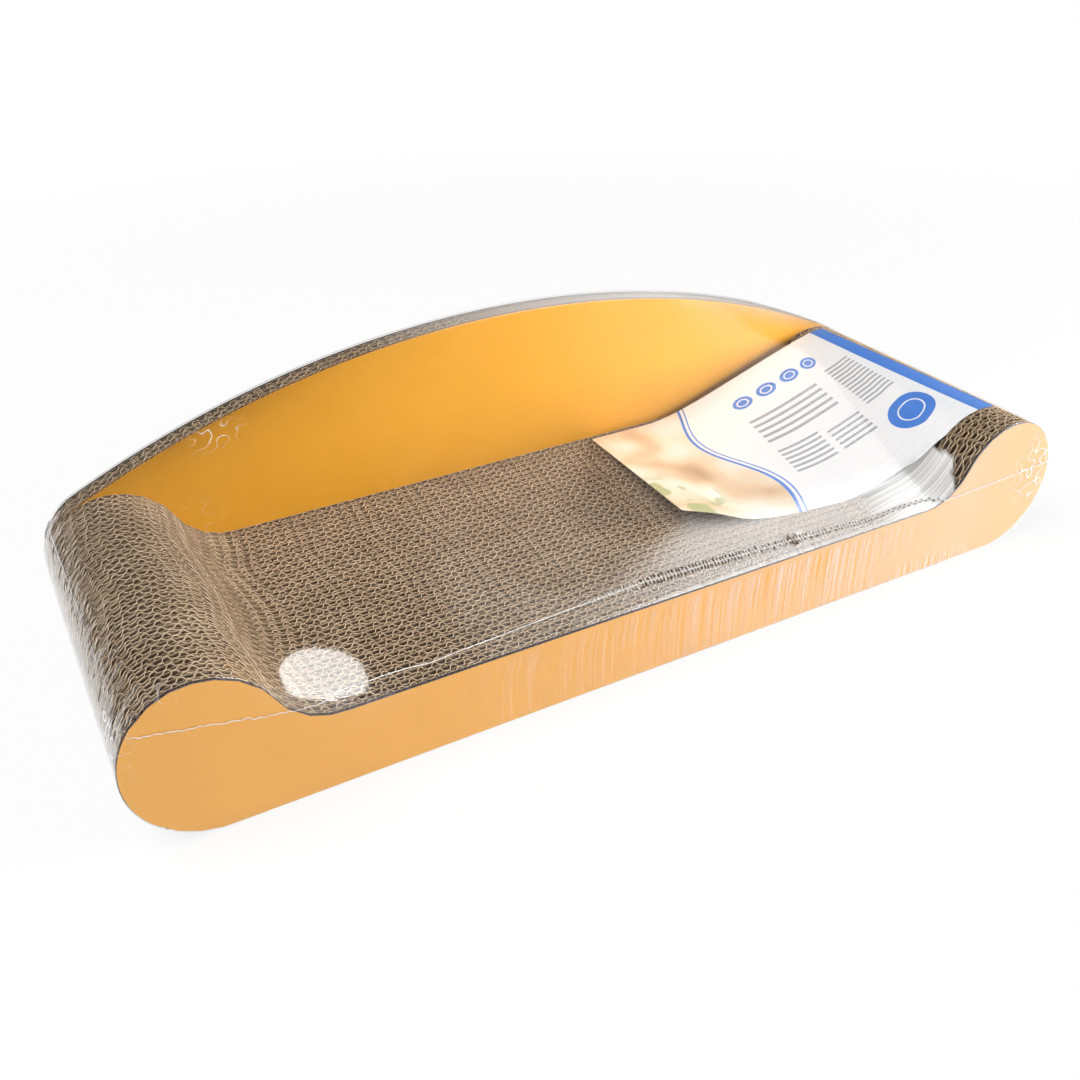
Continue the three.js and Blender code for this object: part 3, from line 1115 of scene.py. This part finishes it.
def slit_shade_finish():
    """Painted shade of a slit between two bites of the sealing knife: dark brown where the film is
    cut through.
    """
    finish = Finish("film_slit_shade", Roughness=0.8)
    at, x, y, z = finish.places()
    tone = finish.noise(at, 500.0, 2.0)
    brown = finish.colours(tone, [(0.3, (0.045, 0.025, 0.014)), (0.7, (0.13, 0.08, 0.05))])
    finish.feed("Base Color", brown)
    return finish.material


def weld():
    """The weld along the front and, where the knife bit through, its short cross bars, and dark
    bars that paint the shade in its slits.
    """
    points, normals = seam_path()
    along = np.gradient(points, axis=0)
    along /= np.linalg.norm(along, axis=1)[:, None]
    across = np.cross(normals, along)
    run = points[:, 0] / (2 * half_length)
    lumps = 0.5 + random_state.random(len(points))
    lumps = np.convolve(lumps, np.ones(3) / 3, mode="same")
    white = weld_finish()
    widths = lumps / 2 * np.where(points[:, 0] > tick_span[1], weld_width_right, weld_width)
    wiggle = random_state.normal(size=len(points))
    wiggle *= np.interp(run, weld_wiggle_span, (weld_wiggle, 0))
    wiggle = np.convolve(wiggle, np.ones(3) / 3, mode="same")[:, None]
    lift = points + normals * weld_lift + across * wiggle
    bead = ribbon("film_weld_bead", lift, across, normals, widths, weld_height * lumps, white)
    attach(bead, "root")
    bars, slits = [], []
    for count, x in enumerate(np.arange(*tick_span, tick_pitch)):
        x = x + random_state.uniform(-tick_scatter, tick_scatter) * tick_pitch
        length = np.interp(x, *tick_lengths)
        k = int(np.clip(np.searchsorted(points[:, 0], x), 1, len(points) - 2))
        place = points[k] + along[k] * (x - points[k, 0])
        bars.append(tick(place, across[k], along[k], normals[k], length, tick_width))
        if x < slit_start:
            continue
        # Slits on both sides of the bead, further on one by one from side to side; their dark bars
        # are painted shade
        for side in (-1, 1) if x < slit_zigzag_start else (1 - count % 2 * 2,):
            scatter = random_state.uniform(-slit_scatter, slit_scatter)
            shift = length * (slit_aside * side + scatter)
            middle = place + along[k] * tick_pitch / 2 + across[k] * shift
            slits.append(
                tick(middle, across[k], along[k], normals[k], length * slit_share, slit_width)
            )
    k = int(np.searchsorted(points[:, 0], knot_place))
    for _ in range(knot_slits):
        aside, ahead = random_state.uniform(-knot_reach, knot_reach, 2)
        turn = random_state.uniform(0, math.pi)
        out_way = along[k] * math.cos(turn) + across[k] * math.sin(turn)
        side_way = np.cross(normals[k], out_way)
        middle = points[k] + across[k] * aside + along[k] * ahead
        slits.append(tick(middle, out_way, side_way, normals[k], knot_reach, slit_width / 2))
    for name, blocks, finish in (
        ("film_weld_bars", bars, white),
        ("film_weld_slit_shades", slits, slit_shade_finish()),
    ):
        deselect()
        for block in blocks:
            block.select_set(True)
        bpy.context.view_layer.objects.active = blocks[0]
        bpy.ops.object.join()
        blocks[0].name = name
        blocks[0].data.materials.append(finish)
        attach(blocks[0], "root")


def tick(point, across, along, out, length, width):
    """A small flat bar across the weld, a little askew."""
    askew = random_state.uniform(-tick_askew, tick_askew)
    along = along * math.cos(askew) + across * math.sin(askew)
    across = np.cross(out, along)
    size = length * random_state.uniform(*tick_size_range)
    deselect()
    segments, rings = tick_steps
    bpy.ops.mesh.primitive_uv_sphere_add(segments=segments, ring_count=rings, radius=0.5)
    bar = bpy.context.object
    frame = Matrix((along * width, across * size, out * slit_height * 2)).transposed().to_4x4()
    bar.data.transform(Matrix.Translation(point + out * tick_lift) @ frame)
    return bar


film_webs()
weld()


# Insert card
def smooth_line(points, count):
    """Points on a smooth curve through the given ones, as many as wanted between each two."""
    points = np.array(points)
    padded = np.vstack([2 * points[0] - points[1], points, 2 * points[-1] - points[-2]])
    places = np.linspace(0, len(points) - 1, count)
    k = np.minimum(places.astype(int), len(points) - 2)
    t = (places - k)[:, None]
    a, b, c, d = (padded[k + step] for step in range(4))
    return 0.5 * (
        2 * b + (c - a) * t + (2 * a - 5 * b + 4 * c - d) * t**2 + (3 * b - a - 3 * c + d) * t**3
    )


def card_finish():
    """White card with a generic print: a warm soft field, blue bands and discs, grey bars."""
    finish = Finish("card_print", Roughness=0.38)
    at, u, v, w = finish.places("UV")
    x = u * (card_length * 1000)
    y = v * (card_width * 1000)
    soft = finish.noise(finish.vector(x, y, 0.0), card_cloud_scale, 1.5, 0.4)
    spots = finish.noise(finish.vector(y, x, 9.0), card_leaf_scale, 1.0, 0.4)
    warm = finish.colours(soft, card_warm_stops)
    leaf = (spots - 0.5).ramp(0.04, 0.12) * (1 - y.ramp(*card_leaf_across))
    leaf = leaf * (1 - x.ramp(*card_leaf_along))
    warm = finish.mix(leaf * 0.8, warm, card_green)
    border = card_border + card_wave * (y * card_wave_rate).sine() - card_border_lean * y
    ink = finish.mix((x - border).ramp(-0.3, 0.3), warm, card_white)
    blue = (x - card_end_band + card_end_lean * y).ramp(-0.3, 0.3)
    for place, low, high in card_lines:
        blue = blue.most(1 - abs(x - border - place).ramp(low, high))
    for place_x, place_y, radius in card_discs:
        far = ((x - place_x) ** 2 + (y - place_y) ** 2) ** 0.5
        disc = 1 - (far - radius).ramp(-0.25, 0.25)
        blue = blue.most(disc * abs(far - radius * card_ring_share).ramp(0.25, 0.7))
    ink = finish.mix(blue, ink, card_blue)
    bars = []
    for low_x, high_x, low_y, high_y, pitch in card_bars:
        inside = (x - low_x).ramp(-0.2, 0.2) * (high_x - x).ramp(-0.2, 0.2)
        inside = inside * (y - low_y).ramp(-0.2, 0.2) * (high_y - y).ramp(-0.2, 0.2)
        row = ((y - low_y) / pitch).wrapped()
        bars.append(inside * (1 - row.ramp(0.38, 0.46)))
    ink = finish.mix(reduce(Value.most, bars), ink, card_grey)
    finish.feed("Base Color", ink)
    grain = finish.noise(at, 300.0, 2.0)
    finish.bump(grain, 0.03, 0.0002)
    return finish.material


def insert_card():
    """The bent card: straight across between its two long edges, over the boards and under
    the film."""
    columns, rows = card_steps
    deselect()
    bpy.ops.mesh.primitive_grid_add(x_subdivisions=columns, y_subdivisions=rows, size=1)
    card = bpy.context.object
    card.name = "insert_card_sheet"
    at = np.empty(len(card.data.vertices) * 3)
    card.data.vertices.foreach_get("co", at)
    at = at.reshape(-1, 3)
    column = np.round((at[:, 0] + 0.5) * columns).astype(int)
    share = (at[:, 1] + 0.5)[:, None]
    front = smooth_line(card_front_shares, columns + 1)[column]
    back = smooth_line(card_back_shares, columns + 1)[column]
    place = front * (1 - share) + back * share
    x = place[:, 0] * 2 * half_length
    y = front_y + place[:, 1] * (seat_back_y - front_y)
    z = seat_height + card_gap + place[:, 2] * (lobe_height - seat_height)
    ceiling = film_top(x, y) - film_thickness - card_gap - card_thickness
    z = np.minimum(np.maximum(z, seat_line(x) + card_gap), ceiling)
    card.data.vertices.foreach_set("co", np.stack([x, y, z + base_z], axis=1).ravel())
    card.data.materials.append(card_finish())
    bpy.ops.object.modifier_add(type="SOLIDIFY")
    wall = card.modifiers[-1]
    wall.thickness = card_thickness
    wall.offset = 1
    bpy.ops.object.modifier_apply(modifier=wall.name)
    bpy.ops.object.shade_smooth_by_angle(angle=board_smooth_angle)
    stand_for(card, "insert_card")


insert_card()


# Camera, floor and light
overhead_level = 0.1
horizon_band = (0.14, 0.2)
floor_own_light = 0.86
floor_own_span = (0.7, 1.3)
floor_mirror_span = (0.715, 0.73)
floor_size = 12
# Lamps: name, place, size, strength, whether it is mirrored in the film, shape, and its turn
# where it looks straight down
lamps = [
    ("key_softbox", (3.451, 0.509, 2.5), (4.862, 2.21), 7.2, True, "ELLIPSE", 0.492),
    ("front_softbox", (1.45, -1.2, 1.15), (1.1, 1.1), 7.4, True, "RECTANGLE", None),
    ("left_softbox", (-1.0, 0.0, 1.8), (1.2, 1.2), 8.4, False, "RECTANGLE", None),
    ("right_softbox", (1.6, -1.0, 0.42), (1.1, 0.7), 22.0, False, "RECTANGLE", None),
    ("back_lamp", (-0.74, 1.5, 0.85), (0.6, 0.6), 2.5, False, "RECTANGLE", None),
]

image_side = 1080
focal_pixels = 1118.97
camera_yaw = 0.4974
camera_pitch = 0.5541
camera_roll = -0.013
camera_shift = Vector((0.1241, 0.1179, 1.0783))

forward = Vector(
    (
        math.sin(camera_yaw) * math.cos(camera_pitch),
        math.cos(camera_yaw) * math.cos(camera_pitch),
        -math.sin(camera_pitch),
    )
)
right = Vector((math.cos(camera_yaw), -math.sin(camera_yaw), 0))
up = right.cross(forward)
turn = Matrix.Rotation(camera_roll, 3, "Z") @ Matrix((right, -up, forward))
place = -(turn.transposed() @ camera_shift) * 2 * half_length
place += Vector((0, front_y, base_z))
axes = Matrix((turn[0], -turn[1], -turn[2])).transposed()
camera_data = bpy.data.cameras.new("camera")
camera_data.sensor_width = 36
camera_data.lens = 36 * focal_pixels / image_side
camera = bpy.data.objects.new("camera", camera_data)
camera.matrix_world = Matrix.Translation(place) @ axes.to_4x4()
bpy.context.collection.objects.link(camera)
bpy.context.scene.camera = camera

bpy.ops.mesh.primitive_plane_add(size=floor_size, location=(0, 0, cad_low.z))
floor = bpy.context.object
floor.name = "floor"
floor_finish = Finish("pale_floor", Roughness=0.9)
glow = floor_finish.node("ShaderNodeEmission", {}, (1, 1, 1, 1), 1.0)
seen = floor_finish.node("ShaderNodeLightPath", {}, output="Is Camera Ray")
glossy = floor_finish.node("ShaderNodeLightPath", {}, output="Is Glossy Ray")
floor_grey = floor_finish.mix(glossy, (0.5, 0.5, 0.5, 1), (0.06, 0.06, 0.06, 1))
floor_finish.feed("Base Color", floor_finish.mix(seen, floor_grey, (0.85, 0.85, 0.85, 1)))
floor_at, floor_x, floor_y, floor_z = floor_finish.places()
away = (floor_x**2 + floor_y**2) ** 0.5
own = floor_own_light + (1 - floor_own_light) * away.ramp(*floor_own_span)
mirrored = glossy * (1 - away.ramp(*floor_mirror_span))
shown = floor_finish.node("ShaderNodeMixShader", {}, seen * own + mirrored, None, glow)
floor_finish.tree.links.new(
    floor_finish.shader.outputs[0], shown.socket.node.inputs[1]
)
floor_finish.tree.links.new(
    shown.socket, floor_finish.tree.nodes["Material Output"].inputs["Surface"]
)
floor.data.materials.append(floor_finish.material)


def lamp(name, place, size, strength, mirrored, shape, turned):
    """An area light as bright as a white of that strength. It looks at the seat, or straight
    down where a turn about Z is given. A mirrored one is seen in the film only, and the others
    light the object only."""
    data = bpy.data.lights.new(name, "AREA")
    data.shape = shape
    data.size, data.size_y = size
    area = size[0] * size[1] * (math.pi / 4 if shape == "ELLIPSE" else 1)
    data.energy = strength * area * math.pi
    light = bpy.data.objects.new(name, data)
    light.location = place
    if turned is None:
        away = Vector(place) - Vector((0, 0, seat_height))
        light.rotation_euler = away.to_track_quat("Z", "Y").to_euler()
    else:
        light.rotation_euler.z = turned
    light.visible_glossy = mirrored
    light.visible_diffuse = not mirrored
    bpy.context.collection.objects.link(light)


for settings in lamps:
    lamp(*settings)


def studio_world():
    """Dark overhead and white along the horizon, so that the film over the seat stays clear and
    its steep ends shine."""
    world = bpy.data.worlds.new("studio")
    world.use_nodes = True
    finish = Finish("sky")
    finish.tree = world.node_tree
    at = finish.node("ShaderNodeTexCoord", {}, output="Generated")
    rise = finish.node("ShaderNodeSeparateXYZ", {}, at, output=2)
    seen = finish.node("ShaderNodeLightPath", {}, output="Is Camera Ray")
    glossy = finish.node("ShaderNodeLightPath", {}, output="Is Glossy Ray")
    band = (1 - rise.ramp(*horizon_band)) * (1 - glossy)
    strength = (overhead_level + (1 - overhead_level) * band).most(seen)
    back = world.node_tree.nodes["Background"]
    back.inputs["Color"].default_value = (1, 1, 1, 1)
    world.node_tree.links.new(strength.socket, back.inputs["Strength"])
    return world


world = studio_world()
bpy.context.scene.world = world
bpy.context.scene.view_settings.view_transform = "Standard"
